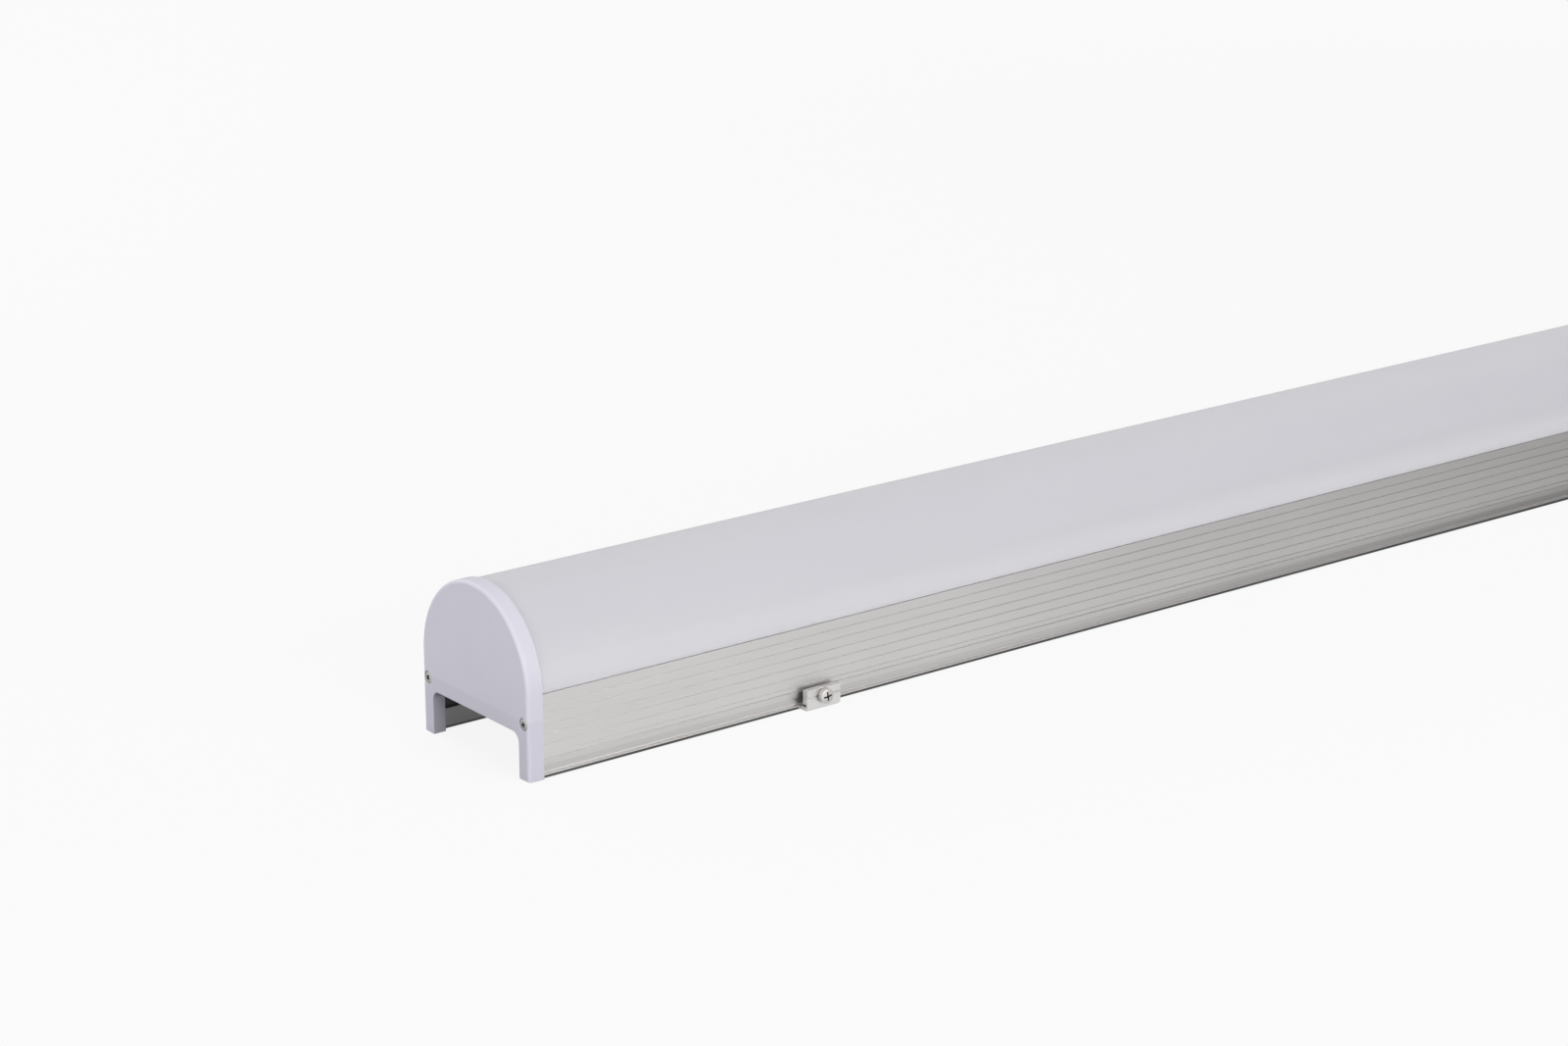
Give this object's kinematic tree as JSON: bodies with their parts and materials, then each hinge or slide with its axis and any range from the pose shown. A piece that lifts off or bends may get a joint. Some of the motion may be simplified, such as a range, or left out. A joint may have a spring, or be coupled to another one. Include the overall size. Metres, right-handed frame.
{
  "type": "outdoor linear wall washer light",
  "caption": "Outdoor linear wall washer light: domed opal cover on a grooved aluminium body, screwed end caps, sliding mounting clips.",
  "frame": {"origin": "halfway between the two wall-screw holes of the mounting clips, on the mounting plane under the clips", "axes": "+X along the light, +Y across it away from the clamping screws, +Z from the mounting plane towards the cover"},
  "size_m": [1, 0.0911, 0.079],
  "materials": {
    "anodised_aluminium": "satin anodised",
    "opal_cover": "satin opal polycarbonate",
    "white_plastic": "satin moulded",
    "silicone": "matte grey silicone",
    "black_rubber": "matte",
    "steel_screw": "plain stainless",
    "clip_metal": "satin",
    "board_white": "white solder mask on aluminium board",
    "heat_tape": "matte heat-conducting tape",
    "led_package": "white package with yellow window",
    "chip_black": "moulded epoxy",
    "link_beige": "moulded",
    "terminal_green": "moulded",
    "gland_plastic": "black polyamide",
    "nut_metal": "nickel-plated brass",
    "membrane": "porous white membrane"
  },
  "bodies": {
    "light": {"base_extrusion": "anodised_aluminium", "diffuser_cover": "opal_cover", "cover_seal_near": "silicone", "cover_seal_far": "silicone", "end_cap_left": "white_plastic", "end_cap_right": "white_plastic", "cap_gasket_left": "silicone", "cap_gasket_right": "silicone", "cap_screws_left": "steel_screw", "cap_screws_right": "steel_screw", "led_board_left": "board_white", "led_board_right": "board_white", "thermal_tape_left": "heat_tape", "thermal_tape_right": "heat_tape", "leds_left": "led_package", "leds_right": "led_package", "driver_chips_left": "chip_black", "driver_chips_right": "chip_black", "board_link": "link_beige", "input_terminal": "terminal_green", "output_terminal": "terminal_green", "terminal_screws": "steel_screw", "gland_body_left": "gland_plastic", "gland_body_right": "gland_plastic", "gland_gasket_left": "black_rubber", "gland_gasket_right": "black_rubber", "gland_seal_left": "black_rubber", "gland_seal_right": "black_rubber", "gland_nut_left": "gland_plastic", "gland_nut_right": "gland_plastic", "gland_locknut_left": "nut_metal", "gland_locknut_right": "nut_metal", "vent_plug": "gland_plastic", "vent_membrane": "membrane", "vent_gasket": "black_rubber", "vent_locknut": "nut_metal"},
    "left_clip": {"mounting_clip_left": "clip_metal"},
    "left_washer": {"clip_washer_left": "steel_screw"},
    "left_screw": {"clip_screw_left": "steel_screw"},
    "right_clip": {"mounting_clip_right": "clip_metal"},
    "right_washer": {"clip_washer_right": "steel_screw"},
    "right_screw": {"clip_screw_right": "steel_screw"}
  },
  "joints": [
    {"name": "left_clip_slide", "type": "slide", "parent": "light", "child": "left_clip", "axis": [1, 0, 0], "range_m": [-0.06, 0.25]},
    {"name": "left_washer_slide", "type": "slide", "parent": "left_clip", "child": "left_washer", "axis": [0, -1, 0], "range_m": [0, 0.0024]},
    {"name": "left_screw_turn", "type": "hinge", "parent": "left_washer", "child": "left_screw", "pos_m": [-0.3435, -0.0458, 0.00605], "axis": [0, -1, 0], "range_deg": [0, 1440.5]},
    {"name": "right_clip_slide", "type": "slide", "parent": "light", "child": "right_clip", "axis": [-1, 0, 0], "range_m": [-0.06, 0.25]},
    {"name": "right_washer_slide", "type": "slide", "parent": "right_clip", "child": "right_washer", "axis": [0, -1, 0], "range_m": [0, 0.0024]},
    {"name": "right_screw_turn", "type": "hinge", "parent": "right_washer", "child": "right_screw", "pos_m": [0.3435, -0.0458, 0.00605], "axis": [0, -1, 0], "range_deg": [0, 1440.5]}
  ],
  "couplings": [
    {"joint": "left_screw_turn", "follows": "left_washer_slide", "rad_per_m": 10472},
    {"joint": "right_screw_turn", "follows": "right_washer_slide", "rad_per_m": 10472}
  ]
}
